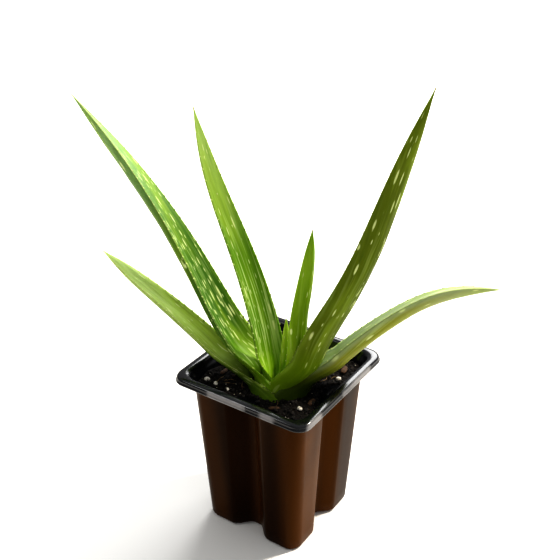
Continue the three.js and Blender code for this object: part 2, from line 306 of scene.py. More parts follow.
# high-impact polystyrene drawn down over a mould: thin, smooth and half glossy, with soft upright draw
# streaks where the sheet stretched more, so its brown runs deeper and lighter in wide vertical bands
def glossyStyreneWall():
    material, tree = newMaterial("glossyStyreneWall")
    place = addNode(tree, "ShaderNodeTexCoord").outputs["Object"]
    # bands about 20 mm wide and longer than the wall
    stretched = addNode(tree, "ShaderNodeMapping", {"Vector": place, "Scale": (45, 45, 2)})
    streaks = addNode(tree, "ShaderNodeTexNoise", {
        "Vector": stretched.outputs[0], "Scale": 1.0, "Detail": 0.0,
    })
    tone = addNode(tree, "ShaderNodeMapRange", {
        "Value": streaks.outputs["Fac"], "From Min": 0.3, "From Max": 0.7,
    }, interpolation_type="SMOOTHSTEP")
    color = addNode(tree, "ShaderNodeMix", {
        "Factor": tone.outputs["Result"],
        "A": linear(pot["wallDeepColor"]),
        "B": linear(pot["wallColor"]),
    }, data_type="RGBA")
    shader = addNode(tree, "ShaderNodeBsdfPrincipled", {
        "Base Color": color.outputs["Result"],
        "Roughness": 0.34,
        "IOR": 1.59,
        "Specular IOR Level": 0.05,
        "Specular Tint": linear(pot["wallSheen"]),
    })
    finishMaterial(tree, shader)
    return material


# the same sheet where it is folded over thicker: nearly black and glossy, with pale patches along the outer
# edge that are painted reflection, light caught on the fold laid into the colour
def glossyStyreneLip():
    material, tree = newMaterial("glossyStyreneLip")
    place = addNode(tree, "ShaderNodeTexCoord").outputs["Object"]
    # dull smears about 11 mm across
    haze = addNode(tree, "ShaderNodeTexNoise", {
        "Vector": place, "Scale": 90.0, "Detail": 6.0, "Roughness": 0.6,
    })
    rough = addNode(tree, "ShaderNodeMapRange", {"Value": haze.outputs["Fac"], "To Min": 0.1, "To Max": 0.26})
    flat = addNode(tree, "ShaderNodeVectorMath", {0: place, 1: (1, 1, 0)}, operation="MULTIPLY").outputs[0]
    # the patches' ends are ragged at about 2.4 mm
    raggedEdge = addNode(tree, "ShaderNodeTexNoise", {
        "Vector": place, "Scale": 420.0, "Detail": 2.0,
    }).outputs["Fac"]
    # painted reflection: each patch is a pale spot standing for light caught on the fold
    reflectionPatches = None
    for x, y, half in pot["paintedReflections"]:
        away = addNode(tree, "ShaderNodeVectorMath", {
            0: flat, 1: Vector((x, y, 0)) * mm,
        }, operation="DISTANCE")
        ragged = addNode(tree, "ShaderNodeMath", {
            0: raggedEdge, 1: 3 * mm, 2: away.outputs["Value"],
        }, operation="MULTIPLY_ADD")
        patch = addNode(tree, "ShaderNodeMapRange", {
            "Value": ragged.outputs[0], "From Min": (half - 1) * mm, "From Max": (half + 3) * mm,
            "To Min": 1.0, "To Max": 0.0,
        }, interpolation_type="SMOOTHSTEP").outputs["Result"]
        reflectionPatches = patch if reflectionPatches is None else addNode(tree, "ShaderNodeMath", {0: reflectionPatches, 1: patch},
                                                  operation="MAXIMUM").outputs[0]
    size = addNode(tree, "ShaderNodeVectorMath", {0: flat}, operation="ABSOLUTE").outputs[0]
    parts = addNode(tree, "ShaderNodeSeparateXYZ", {0: size})
    reach = addNode(tree, "ShaderNodeMath", {0: parts.outputs[0], 1: parts.outputs[1]}, operation="MAXIMUM")
    outer = addNode(tree, "ShaderNodeMapRange", {
        "Value": reach.outputs[0],
        "From Min": (lipHalf - pot["paintedReflectionBand"]) * mm,
        "From Max": (lipHalf - 0.6) * mm,
    })
    share = addNode(tree, "ShaderNodeMath", {0: reflectionPatches, 1: outer.outputs["Result"]}, operation="MULTIPLY")
    color = addNode(tree, "ShaderNodeMix", {
        "Factor": share.outputs[0],
        "A": linear(pot["lipColor"]),
        "B": linear(pot["paintedReflectionColor"]),
    }, data_type="RGBA")
    # the fold waves a little, about every 17 mm
    ripple = addNode(tree, "ShaderNodeTexNoise", {"Vector": place, "Scale": 60.0, "Detail": 2.0})
    bump = addNode(tree, "ShaderNodeBump", {
        "Height": ripple.outputs["Fac"], "Strength": 0.4, "Distance": 0.0006,
    })
    shader = addNode(tree, "ShaderNodeBsdfPrincipled", {
        "Base Color": color.outputs["Result"],
        "Roughness": rough.outputs["Result"],
        "IOR": 1.59,
        "Normal": bump.outputs["Normal"],
    })
    finishMaterial(tree, shader)
    return material


makePot()
print("pot made")


# peat and composted bark with a little perlite and fibre, damp and dark
potting = {
    "level": 97.0,
    "ripple": 0.7,
    "dip": 2.6,
    "dipReach": 13.0,
    "rings": 46,
    "lump": 1.3,
    "lumpsPerMm": 0.22,
    "lumpRoughness": 0.35,
    "crownReach": 9.0,
    "crownStretch": 1.25,
    "spread": 36,
    "cornerRoom": 3.5,
    "crumbs": 1500,
    "crumbSizes": (0.35, 1.5),
    "chips": 40,
    "chipSizes": (0.6, 2.1),
    "grit": 160,
    "gritSizes": (0.22, 0.6),
    "fibres": 30,
    "seed": 11,
    "darkColor": "#060403",
    "brownColor": "#1A110B",
}
plant = {"x": 5.8, "y": -6.9}


def soilHeight(x, y):
    ripple = math.sin(0.21 * x + 1) * math.cos(0.17 * y - 0.5) + 0.6 * math.sin(0.33 * x - 0.29 * y)
    away = math.hypot(x - plant["x"], y - plant["y"]) / potting["dipReach"]
    return potting["level"] + potting["ripple"] * ripple - potting["dip"] * math.exp(-away * away)


def lumpyHeight(x, y):
    lumps = noise.fractal(Vector((x, y, 3.0)) * potting["lumpsPerMm"], 0.7, 2.1, 5)
    return soilHeight(x, y) + potting["lump"] * lumps


mixInset = pot["wall"] + 0.15
mixEdge = potting["level"] - 1.0


def makeMix():
    bottom = pot["wall"] + 0.1
    rows = [(pot["centreHalf"], bottom), (footHalf - pot["footRadius"] - 2 * mixInset, bottom),
            (wallHalf(pot["footRadius"]) - mixInset - 0.4, pot["footRadius"] + mixInset)]
    for i in range(1, 9):
        z = mix(pot["footRadius"] + mixInset, mixEdge, i / 8)
        rows.append((wallHalf(z) - mixInset, z))
    points = [p for half, z in rows for p in ringPoints(half, z)]
    edge = outline(wallHalf(mixEdge) - mixInset, mixEdge)
    for i in range(1, potting["rings"] + 1):
        share = 1 - i / (potting["rings"] + 0.5)
        points += [(share * x, share * y, lumpyHeight(share * x, share * y)) for x, y in edge]
    columns = len(edge)
    rowCount = len(points) // columns
    faces = ringFaces(rowCount, columns)
    faces.append(tuple(reversed(range(columns))))
    faces.append(tuple(range(len(points) - columns, len(points))))
    makePiece("mixBed", points, faces, [dampPeat()], ["potting_mix"])


# damp sphagnum peat with fine bark: almost black, matt, flecked brown where a crumb has dried
def dampPeat():
    material, tree = newMaterial("dampPeat")
    place = addNode(tree, "ShaderNodeTexCoord").outputs["Object"]
    # grains about 1.4 mm across in clumps of about 6 mm
    grains = addNode(tree, "ShaderNodeTexVoronoi", {"Vector": place, "Scale": 700.0})
    clumps = addNode(tree, "ShaderNodeTexNoise", {"Vector": place, "Scale": 160.0, "Detail": 5.0})
    tone = addNode(tree, "ShaderNodeMath", {0: grains.outputs["Distance"], 1: clumps.outputs["Fac"]},
                   operation="MULTIPLY")
    share = addNode(tree, "ShaderNodeMapRange", {
        "Value": tone.outputs[0], "From Min": 0.1, "From Max": 0.6,
    })
    color = addNode(tree, "ShaderNodeMix", {
        "Factor": share.outputs["Result"],
        "A": linear(potting["darkColor"]),
        "B": linear(potting["brownColor"]),
    }, data_type="RGBA")
    bump = addNode(tree, "ShaderNodeBump", {
        "Height": grains.outputs["Distance"], "Strength": 0.8, "Distance": 0.0008,
    })
    shader = addNode(tree, "ShaderNodeBsdfPrincipled", {
        "Base Color": color.outputs["Result"],
        "Roughness": 0.92,
        "IOR": 1.45,
        "Specular IOR Level": 0.3,
        "Normal": bump.outputs["Normal"],
    })
    finishMaterial(tree, shader)
    return material


# the loose stuff in the mix: dark and light colour, specks per metre (1.1 to 2.6 mm each), roughness
looseStuff = {
    # milled peat, damp: nearly black and matt
    "peatCrumb": ("#070504", "#1C140E", 500.0, 0.9),
    # bark composted soft: dull, browner where it has dried
    "compostedBark": ("#150D08", "#3E2C1E", 380.0, 0.85),
    # fines of perlite, volcanic glass puffed up by heat: chalky, stained by the peat
    "perliteGrit": ("#8F8675", "#D8D2C2", 600.0, 0.8),
    # husk fibre and dry rootlets: tan and dull
    "coirFibre": ("#3B2A1A", "#9A8158", 400.0, 0.85),
    # the same perlite in whole grains: cleaner and whiter
    "expandedPerlite": ("#A9A294", "#EFEBE0", 900.0, 0.75),
    # pine bark, split and screened: red brown and fibrous
    "pineBark": ("#2A1A10", "#5E442C", 500.0, 0.85),
}


def looseMaterial(name):
    dark, light, scale, roughness = looseStuff[name]
    material, tree = newMaterial(name)
    place = addNode(tree, "ShaderNodeTexCoord").outputs["Object"]
    speck = addNode(tree, "ShaderNodeTexNoise", {"Vector": place, "Scale": scale, "Detail": 4.0})
    share = addNode(tree, "ShaderNodeMapRange", {
        "Value": speck.outputs["Fac"], "From Min": 0.35, "From Max": 0.66,
    })
    color = addNode(tree, "ShaderNodeMix", {
        "Factor": share.outputs["Result"], "A": linear(dark), "B": linear(light),
    }, data_type="RGBA")
    bump = addNode(tree, "ShaderNodeBump", {
        "Height": speck.outputs["Fac"], "Strength": 0.6, "Distance": 0.0004,
    })
    shader = addNode(tree, "ShaderNodeBsdfPrincipled", {
        "Base Color": color.outputs["Result"],
        "Roughness": roughness,
        "IOR": 1.5,
        "Normal": bump.outputs["Normal"],
    })
    finishMaterial(tree, shader)
    return material


def unitBall(detail):
    ball = bmesh.new()
    bmesh.ops.create_icosphere(ball, subdivisions=detail, radius=1.0)
    points = np.array([v.co for v in ball.verts])
    faces = [tuple(v.index for v in f.verts) for f in ball.faces]
    ball.free()
    return points, faces


# a broken lump: a ball pushed about by noise, then squashed and turned
def lumpPoints(ball, size, dice):
    seed = Vector((dice.uniform(-50, 50), dice.uniform(-50, 50), dice.uniform(-50, 50)))
    roughness = potting["lumpRoughness"]
    pushed = np.array([p * (1 + roughness * noise.noise(Vector(p) * 1.7 + seed)) for p in ball])
    pushed = pushed * np.array(size)
    turn, tip = dice.uniform(0, 2 * math.pi), dice.uniform(-0.5, 0.5)
    c, s = math.cos(tip), math.sin(tip)
    pushed = pushed @ np.array([[c, 0, s], [0, 1, 0], [-s, 0, c]])
    c, s = math.cos(turn), math.sin(turn)
    return pushed @ np.array([[c, s, 0], [-s, c, 0], [0, 0, 1]])


# whether a spot is clear of the leaf bases, where nothing loose lies
def clearOfCrown(x, y):
    return math.hypot((x - plant["x"]) / potting["crownStretch"], y - plant["y"]) > potting["crownReach"]


# a random spot inside the pot's inner wall
def randomSpot(dice, margin=1.0):
    limit = wallHalf(potting["level"]) - mixInset - margin
    spread = potting["spread"]
    while True:
        x, y = dice.uniform(-spread, spread), dice.uniform(-spread, spread)
        inside = max(abs(x), abs(y)) < limit and abs(x) + abs(y) < 2 * limit - potting["cornerRoom"]
        if inside and clearOfCrown(x, y):
            return x, y


# many small lumps in one mesh, most of them near the smaller size
def scatterLumps(name, count, sizes, material, dice, ball, flat=1.0):
    points, faces = [], []
    ballPoints, ballFaces = ball
    for _ in range(count):
        x, y = randomSpot(dice)
        size = mix(sizes[0], sizes[1], dice.random() ** 2.2)
        shape = (size, size * dice.uniform(0.55, 0.95), size * dice.uniform(0.45, 0.85) * flat)
        base = sum(len(p) for p in points)
        lift = size * dice.uniform(-0.1, 0.45)
        points.append(lumpPoints(ballPoints, shape, dice) + (x, y, lumpyHeight(x, y) + lift))
        faces += [tuple(base + i for i in face) for face in ballFaces]
    makePiece(name, np.concatenate(points), faces, [material], [], smooth=False)


# thin curved roots and coir hairs lying on the mix
def makeFibres(dice):
    points, faces = [], []
    sides, steps = 5, 10
    for _ in range(potting["fibres"]):
        x, y = randomSpot(dice, 3.0)
        heading = dice.uniform(0, 2 * math.pi)
        length, radius, bend = dice.uniform(4, 13), dice.uniform(0.1, 0.24), dice.uniform(-0.25, 0.25)
        base = len(points)
        for i in range(steps + 1):
            t = i / steps
            thin = radius * (1 - 0.75 * abs(2 * t - 1) ** 3)
            z = lumpyHeight(x, y) + 0.35 + 0.9 * math.sin(math.pi * t) * (0.4 + abs(bend) * 3)
            side = Vector((-math.sin(heading), math.cos(heading), 0))
            for k in range(sides):
                turn = 2 * math.pi * k / sides
                p = Vector((x, y, z)) + side * (thin * math.cos(turn)) + Vector((0, 0, thin * math.sin(turn)))
                points.append(p)
            x += math.cos(heading) * length / steps
            y += math.sin(heading) * length / steps
            heading += bend
        faces += ringFaces(steps + 1, sides, base)
        faces.append(tuple(base + k for k in reversed(range(sides))))
        faces.append(tuple(base + steps * sides + k for k in range(sides)))
    limit = wallHalf(potting["level"]) - mixInset
    points = np.clip(np.array(points), (-limit, -limit, 0), (limit, limit, np.inf))
    makePiece("coirFibres", points, faces, [looseMaterial("coirFibre")], [])


# each of the larger loose bits keeps the place and shape of its solid, broken up by noise
def makeBits(kind, material, roughness):
    for name in sorted(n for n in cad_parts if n.startswith(kind + "_")):
        form = bmesh.new()
        form.from_mesh(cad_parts[name].data)
        bmesh.ops.remove_doubles(form, verts=form.verts, dist=0.01 * mm)
        bmesh.ops.subdivide_edges(form, edges=form.edges, cuts=3, use_grid_fill=True, smooth=0.35)
        centre = sum((v.co for v in form.verts), Vector()) / len(form.verts)
        for v in form.verts:
            push = noise.fractal((v.co / mm) * 0.9 + Vector((7, 3, 1)), 0.8, 2.0, 4)
            v.co = centre + (v.co - centre) * (0.97 + roughness * push)
        points = [v.co / mm for v in form.verts]
        faces = [tuple(v.index for v in f.verts) for f in form.faces]
        form.free()
        makePiece(kind + "Bit" + name.split("_")[-1], points, faces, [material], [name])


makeMix()
dice = random.Random(potting["seed"])
smallBall, roundBall = unitBall(1), unitBall(2)
scatterLumps("peatCrumbs", potting["crumbs"], potting["crumbSizes"], looseMaterial("peatCrumb"),
             dice, smallBall)
scatterLumps("barkChips", potting["chips"], potting["chipSizes"], looseMaterial("compostedBark"),
             dice, roundBall, flat=0.6)
scatterLumps("perliteGrit", potting["grit"], potting["gritSizes"], looseMaterial("perliteGrit"),
             dice, smallBall)
makeFibres(dice)
makeBits("perlite", looseMaterial("expandedPerlite"), 0.10)
makeBits("bark", looseMaterial("pineBark"), 0.12)
print("potting mix and loose bits made")


stem = {"ringColor": "#A89A6C", "paleColor": "#D5CDA2"}


# corky bark of a young stem and the skin of fleshy roots, hidden in the mix: pale and dull, with rings across
def corkyStem():
    material, tree = newMaterial("corkyStem")
    place = addNode(tree, "ShaderNodeTexCoord").outputs["Object"]
    # rings 3 to 4 mm apart
    rings = addNode(tree, "ShaderNodeTexWave", {"Vector": place, "Scale": 90.0, "Distortion": 3.0},
                    bands_direction="Z")
    color = addNode(tree, "ShaderNodeMix", {
        "Factor": rings.outputs["Fac"], "A": linear(stem["ringColor"]), "B": linear(stem["paleColor"]),
    }, data_type="RGBA")
    bump = addNode(tree, "ShaderNodeBump", {
        "Height": rings.outputs["Fac"], "Strength": 0.4, "Distance": 0.0004,
    })
    shader = addNode(tree, "ShaderNodeBsdfPrincipled", {
        "Base Color": color.outputs["Result"], "Roughness": 0.7, "Normal": bump.outputs["Normal"],
    })
    finishMaterial(tree, shader)
    return material


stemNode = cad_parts["stem_and_roots"]
stemNode.data.materials.clear()
stemNode.data.materials.append(corkyStem())


# heading, turn, rise, roll and twist lead the blade through the air in degrees; out and foot place its
# base; the sheath is how that base clasps the crown. face and back are the colours of the inner and outer
# side and tip the colour towards the end, with a note above a leaf where they hold painted light; edge is the
# paleness of its rim, streaks how strong the pale runs are, the strength after streaks how dark the painted
# shade laid on the base near the soil is, and spots how closely the pale flecks stand at base and tip
leafShapes = {
    "leaf_bud": {
        "heading": -10, "turn": 0, "length": 46, "width": 8, "taper": 0.45, "depth": 0.42, "channel": 0.2,
        "out": 1, "foot": 95.6, "roll": 0, "twist": 0, "rise": (84, 86, 87, 87, 87),
        "sheath": {"radius": 2.2, "wrap": 100, "length": 9, "thick": 1.4, "climb": 1},
        "face": "#86A81C", "back": "#7C9C18", "tip": "#A0B840", "edge": 0.1, "streaks": 0.3, "dusk": 0,
        "spots": (0.3, 0.15), "seed": 3,
    },
    "leaf_young_right": {
        "heading": -6, "turn": 0, "length": 107, "width": 14, "taper": 0.32, "depth": 0.42, "channel": 0.2,
        "out": 2, "foot": 95, "roll": -7, "twist": 0, "rise": (56, 71, 87, 80, 82),
        "sheath": {"radius": 4.2, "wrap": 108, "length": 18, "thick": 1.9, "climb": 0.95},
        "face": "#86A818", "back": "#6A8808", "tip": "#668C1C", "edge": 0.15, "streaks": 0.2, "dusk": 0,
        "spots": (0.45, 0.1), "seed": 8,
    },
    "leaf_middle_left": {
        "heading": 181, "turn": 6, "length": 164, "width": 19, "taper": 0.46, "depth": 0.42, "channel": 0.2,
        "out": 3, "foot": 95, "roll": -22, "twist": 0, "rise": (80, 80, 72, 66, 77),
        "sheath": {"radius": 6.6, "wrap": 110, "length": 22, "thick": 4.2, "climb": 0.95},
        "face": "#5E8420", "back": "#54760E", "tip": "#A4BC6A", "edge": 0.15, "streaks": 0.65, "dusk": 0,
        "spots": (0.6, 0.2), "seed": 14,
    },
    "leaf_tall_right": {
        "heading": 9, "turn": -3, "length": 198, "width": 22, "taper": 0.52, "depth": 0.44, "channel": 0.22,
        "out": 4, "foot": 95, "roll": -25, "twist": -15, "rise": (50, 71, 63, 72, 71),
        "sheath": {"radius": 11.2, "wrap": 112, "length": 28, "thick": 3.2, "climb": 0.9},
        "face": "#5A6A0A", "back": "#566406", "tip": "#606E18", "edge": 0.2, "streaks": 0.12, "dusk": 0.2,
        "spots": (0.4, 0.3), "seed": 21,
    },
    # painted highlight: the pale tip colour stands for sun and sky light washing over the blade's upper part
    "leaf_tall_left": {
        "heading": 184, "turn": 12, "length": 197, "width": 23, "taper": 0.34, "depth": 0.42, "channel": 0.22,
        "out": 6, "foot": 94, "roll": -12, "twist": 40, "rise": (72, 46, 59, 53, 43),
        "sheath": {"radius": 12.2, "wrap": 115, "length": 32, "thick": 3.2, "climb": 0.85},
        "face": "#40641E", "back": "#44660F", "tip": "#94B478", "edge": 0.6, "streaks": 0.2, "dusk": 0.1,
        "spots": (0.95, 0.4), "seed": 34,
    },
    # partly painted light: the pale face stands partly for sun and sheen on the upper side, the olive back
    # partly for painted shade, and the strong pale rim partly for sunlight along the far edge
    "leaf_outer_right": {
        "heading": 34, "turn": -8, "length": 135, "width": 22, "taper": 0.37, "depth": 0.46, "channel": 0.25,
        "out": 7, "foot": 94, "roll": -14, "twist": -8, "rise": (38, 50, 43, 32, -6),
        "sheath": {"radius": 15.2, "wrap": 112, "length": 32, "thick": 2.6, "climb": 0.7},
        "face": "#A0B088", "back": "#84882A", "tip": "#A2AC84", "edge": 0.7, "streaks": 0.3, "dusk": 0.85,
        "spots": (0.35, 0.25), "seed": 55,
    },
    # partly painted light: the pale face stands partly for sunlight on the upper side, the dark back partly
    # for painted shade underneath
    "leaf_outer_left": {
        "heading": 194, "turn": 0, "length": 122, "width": 18, "taper": 0.38, "depth": 0.42, "channel": 0.2,
        "out": 8, "foot": 93, "roll": -5, "twist": 0, "rise": (12, 36, 39, 35, 32),
        "sheath": {"radius": 16.8, "wrap": 112, "length": 36, "thick": 2.4, "climb": 0.6},
        "face": "#9CB450", "back": "#4A6418", "tip": "#A8BE78", "edge": 0.8, "streaks": 0.2, "dusk": 0.55,
        "spots": (0.4, 0.2), "seed": 89,
    },
}
blade = {
    "stations": 150,
    "facePoints": 16,
    "backPoints": 26,
    "tipHalf": 0.3,
    "tipSharpness": 12,
    "toothPitch": 5.2,
    "toothHeight": 0.75,
    "toothStart": 12.0,
    "toothEnd": 0.93,  # share of the leaf's length
    "toothSides": 6,
    "toothStations": 400,
}


# a smooth curve through evenly spaced values
def throughValues(values, u):
    last = len(values) - 1
    p = u * last
    i = min(int(p), last - 1)
    w = p - i
    a, b = values[max(i - 1, 0)], values[i]
    c, d = values[i + 1], values[min(i + 2, last)]
    v0, v1 = (c - a) / 2, (d - b) / 2
    return (2 * b - 2 * c + v0 + v1) * w ** 3 + (-3 * b + 3 * c - 2 * v0 - v1) * w ** 2 + v0 * w + b


def leafSpine(leaf, count):
    def angles(t):
        return (math.radians(leaf["heading"] + leaf["turn"] * t * t),
                math.radians(throughValues(leaf["rise"], min(t, 1.0) ** 0.6)))

    def towards(t):
        heading, rise = angles(t)
        level = math.cos(rise)
        return Vector((level * math.cos(heading), level * math.sin(heading), math.sin(rise)))

    start = math.radians(leaf["heading"])
    point = Vector((plant["x"] + leaf["out"] * math.cos(start), plant["y"] + leaf["out"] * math.sin(start),
                    leaf["foot"]))
    spine = []
    for i in range(count + 1):
        t = i / count
        if i:
            point = point + towards(t - 0.5 / count) * (leaf["length"] / count)
        along = towards(t)
        heading = angles(t)[0]
        side = Vector((-math.sin(heading), math.cos(heading), 0))
        up = along.cross(side)
        roll = math.radians(leaf["roll"] + leaf["twist"] * t)
        spine.append((t, point, along, side * math.cos(roll) + up * math.sin(roll),
                      up * math.cos(roll) - side * math.sin(roll)))
    return spine


def halfWidth(leaf, t):
    narrowing = (1 - t) ** leaf["taper"] * (1 - t ** blade["tipSharpness"])
    return 0.5 * leaf["width"] * narrowing + blade["tipHalf"]


# a point of the leaf's surface: across runs from edge to edge, back is 0 on the face and up to 1 on the
# keel. The base clasps the crown in a sheath, which opens into the crescent blade further up
def leafPoint(leaf, station, across, back, dent=0.0):
    t, point, along, side, up = station
    half = halfWidth(leaf, t)
    depth = 2 * half * mix(leaf["depth"], 0.5, float(smoothStep(t, 0.4, 1)))
    hollow = 2 * half * leaf["channel"] * (1 - t)
    lift = -depth * back if back else -hollow * (1 - across ** 2)
    bladePoint = point + side * (half * across) + up * (lift + dent)
    sheath = leaf["sheath"]
    s = t * leaf["length"]
    opened = float(smoothStep(s, 0, sheath["length"]))
    if opened >= 1:
        return bladePoint
    angle = math.radians(leaf["heading"] + sheath["wrap"] * across)
    radius = sheath["radius"] + sheath["thick"] * back + 0.3 * dent
    sheathPoint = Vector((plant["x"] + radius * math.cos(angle), plant["y"] + radius * math.sin(angle),
                          leaf["foot"] + sheath["climb"] * s))
    return sheathPoint.lerp(bladePoint, opened)


# one leaf: crescent blade, hollow face and round back, with small hooked teeth along both edges
def makeLeaf(name, leaf):
    dice = random.Random(leaf["seed"])
    points, places, shares = [], [], []
    spine = leafSpine(leaf, blade["stations"])
    around = blade["facePoints"] + blade["backPoints"]
    wander = Vector((leaf["seed"], 2.0 * leaf["seed"], 5.0))
    for station in spine:
        t = station[0]
        half = halfWidth(leaf, t)
        s = t * leaf["length"]
        for k in range(around):
            if k <= blade["facePoints"]:
                across, back = 1 - 2 * k / blade["facePoints"], 0.0
                wrap, margin = 0.5 * abs(across), half * (1 - abs(across))
            else:
                turn = math.pi * (k - blade["facePoints"]) / blade["backPoints"]
                across, back = -math.cos(turn), math.sin(turn)
                wrap = 1 - 0.5 * abs(across)
                margin = half * math.hypot(1 - abs(across), 2 * leaf["depth"] * back)
            # shallow swells 6 by 22 mm, and finer ones 2 by 6 mm
            dent = 0.35 * noise.noise(Vector((0.16 * half * across, 0.045 * s, 2.0 * wrap)) + wander)
            dent += 0.12 * noise.noise(Vector((0.5 * half * across, 0.16 * s, 3.0 * wrap)) + wander)
            dent *= min(1.0, half / 5) * (1 - abs(across) ** 3)
            points.append(leafPoint(leaf, station, across, back, dent))
            places.append((half * across, s, wrap))
            shares.append((t, margin, 0.0))
    rows = len(spine)
    faces = [tuple(reversed(f)) for f in ringFaces(rows, around)]
    for row, flip in ((0, False), (rows - 1, True)):
        base = row * around
        t, along = spine[row][0], spine[row][2]
        centre = sum((points[base + k] for k in range(around)), Vector()) / around
        points.append(centre + along * (0.5 * blade["tipHalf"] if row else 0))
        places.append((0, t * leaf["length"], 0.7))
        shares.append((t, halfWidth(leaf, t), 0.0))
        last = len(points) - 1
        for k in range(around):
            pair = (base + k, base + (k + 1) % around)
            faces.append((last, *(reversed(pair) if flip else pair)))
    addTeeth(leaf, dice, points, places, shares, faces)
    pieceName = "leaf" + name.replace("leaf_", "").title().replace("_", "")
    makePiece(pieceName, points, faces, [aloeSkin(name, leaf)], [name],
              places={"leafPlace": places, "leafShare": shares})


# pale hooked teeth, closer together towards the base
def addTeeth(leaf, dice, points, places, shares, faces):
    sides, count = blade["toothSides"], blade["toothStations"]
    spine = leafSpine(leaf, count)
    for edge in (-1, 1):
        s = blade["toothStart"]
        while s < blade["toothEnd"] * leaf["length"]:
            station = spine[int(round(s / leaf["length"] * count))]
            t, point, along, side, up = station
            half = halfWidth(leaf, t)
            fullness = 0.45 + 0.55 * half / (0.5 * leaf["width"])
            size = blade["toothHeight"] * fullness * dice.uniform(0.75, 1.15)
            size *= min(1.0, leaf["width"] / 16)
            root = leafPoint(leaf, station, edge, 0) - side * (0.35 * edge)
            out = (side * edge + along * 0.45).normalized()
            first = len(points)
            for reach, wide, hook in ((0.0, 0.85, 0.0), (0.55, 0.5, 0.05), (0.9, 0.2, 0.18)):
                for k in range(sides):
                    turn = 2 * math.pi * k / sides
                    p = root + out * (size * reach + 0.2 * (reach > 0)) + along * (size * hook)
                    p = p + along * (wide * size * math.cos(turn)) + up * (0.5 * wide * size * math.sin(turn))
                    points.append(p)
                    places.append((edge * half, s, 0.5))
                    shares.append((t, 0.0, reach))
            points.append(root + out * (size * 1.15 + 0.2) + along * (size * 0.3))
            places.append((edge * half, s, 0.5))
            shares.append((t, 0.0, 1.0))
            tipIndex = len(points) - 1
            ring = ringFaces(3, sides, first)
            top = first + 2 * sides
            ring += [(top + k, top + (k + 1) % sides, tipIndex) for k in range(sides)]
            ring.append(tuple(first + k for k in reversed(range(sides))))
            faces += [tuple(reversed(f)) for f in ring] if edge > 0 else ring
            s += blade["toothPitch"] * (0.75 + 0.5 * t) * dice.uniform(0.8, 1.2)


# what all the leaves' skins share
skin = {
    "deepStreak": "#2F4A06",
    "paleStreak": "#B4C85A",
    "paleRun": "#C6DA8E",
    "cloud": "#9CB438",
    "fleck": "#D8E2A0",
    "fleckStrength": 0.72,
    # width and length of a fleck's cell in mm, its radius in cells, and an offset
    "fleckCells": ((2.4, 13.0, 0.33, 0.0), (1.7, 8.0, 0.27, 31.0)),
    "horn": "#CFD992",
    "driedTip": "#A08C62",
    "blanchedBase": "#8EB418",
    # painted shade: dark green laid on the leaves' outer side near the soil, standing for the shade that
    # falls there
    "paintedBaseShade": "#1C2A06",
    # noises: cells per mm across, along and through the leaf, fineness and an offset
    "noises": {
        "streak": ((0.75, 0.03, 2.0), 3.0, 0.0),
        "run": ((0.95, 0.018, 2.0), 2.0, 17.0),
        "cloud": ((0.12, 0.02, 1.0), 2.0, 9.0),
        "pores": ((2.4, 0.8, 3.0), 2.0, 4.0),
    },
}


